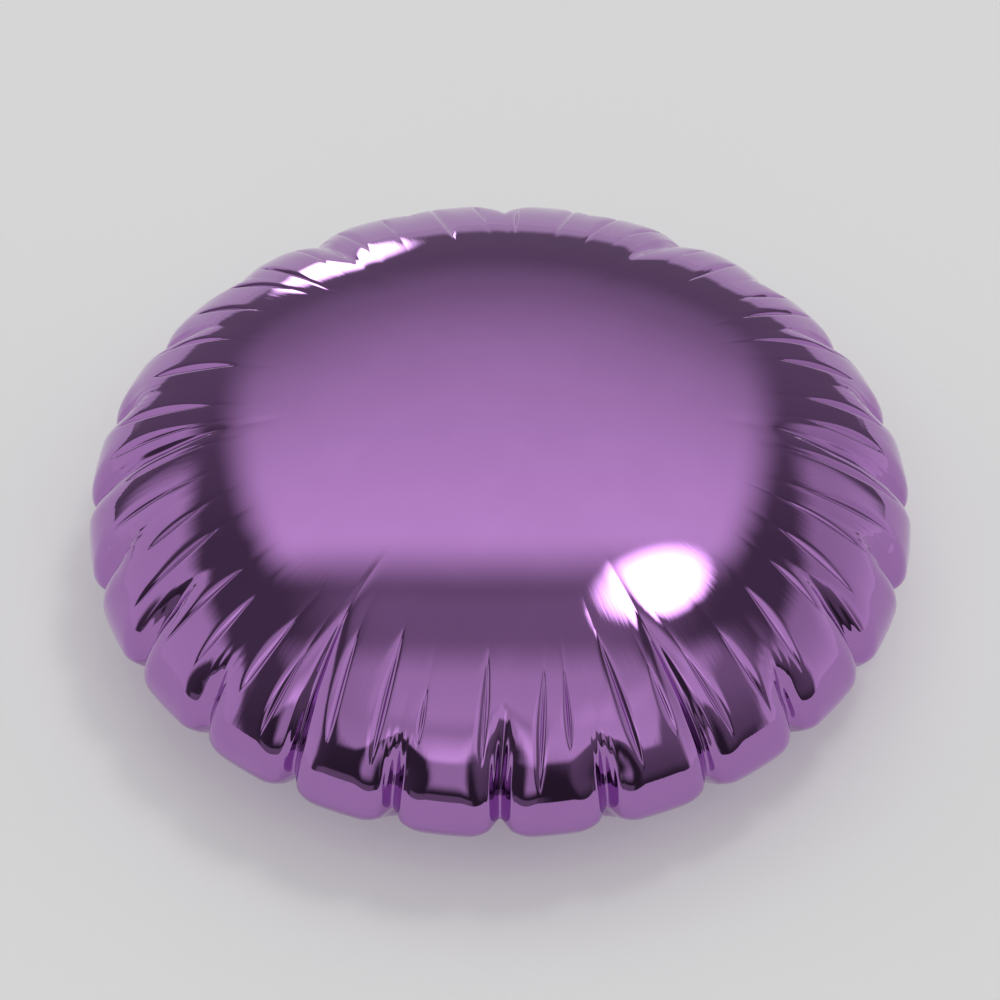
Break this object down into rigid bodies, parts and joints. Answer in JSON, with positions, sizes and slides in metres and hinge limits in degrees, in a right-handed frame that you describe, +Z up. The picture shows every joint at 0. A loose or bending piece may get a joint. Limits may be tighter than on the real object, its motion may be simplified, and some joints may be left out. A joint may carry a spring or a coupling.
{
  "type": "wobble cushion",
  "caption": "Round air-filled wobble cushion of shiny film, domed both sides, gathered all round its rim, with a plugged valve under the back edge.",
  "frame": {"origin": "centre of the flat patch that the cushion rests on, on the floor", "axes": "+Z up along the cushion's axis, -Y towards the front, +X to the right seen from the front"},
  "size_m": [0.35, 0.35, 0.1063],
  "materials": {
    "film": "metallised purple film, high gloss",
    "weld": "heat-welded film, pressed matt grid",
    "valve": "soft moulded plastic, satin",
    "flap": "translucent silicone"
  },
  "bodies": {
    "base": {"bottom_panel": "film", "valve_patch": "weld", "valve_body": "valve", "plug_strap": "valve"},
    "rim": {"rim_weld": "weld"},
    "seat": {"top_panel": "film"},
    "plug": {"valve_plug": "valve"},
    "flap": {"check_flap": "flap"}
  },
  "joints": [
    {"name": "wobble_pitch", "type": "hinge", "parent": "base", "child": "rim", "pos_m": [0, 0, 0.04015], "axis": [1, 0, 0], "range_deg": [-10, 10], "stiffness_Nm_per_rad": 90, "deforming": ["bottom_panel"]},
    {"name": "wobble_roll", "type": "hinge", "parent": "rim", "child": "seat", "pos_m": [0, 0, 0.04015], "axis": [0, 1, 0], "range_deg": [-10, 10], "stiffness_Nm_per_rad": 90, "deforming": ["top_panel"]},
    {"name": "plug_pull", "type": "slide", "parent": "base", "child": "plug", "axis": [-0.2304, 0.3003, -0.9256], "range_m": [0, 0.012], "deforming": ["plug_strap"]},
    {"name": "flap_open", "type": "hinge", "parent": "base", "child": "flap", "pos_m": [-0.08427, 0.10982, 0.02819], "axis": [0.7934, 0.6088, 0], "range_deg": [0, 60], "stiffness_Nm_per_rad": 0.004}
  ]
}
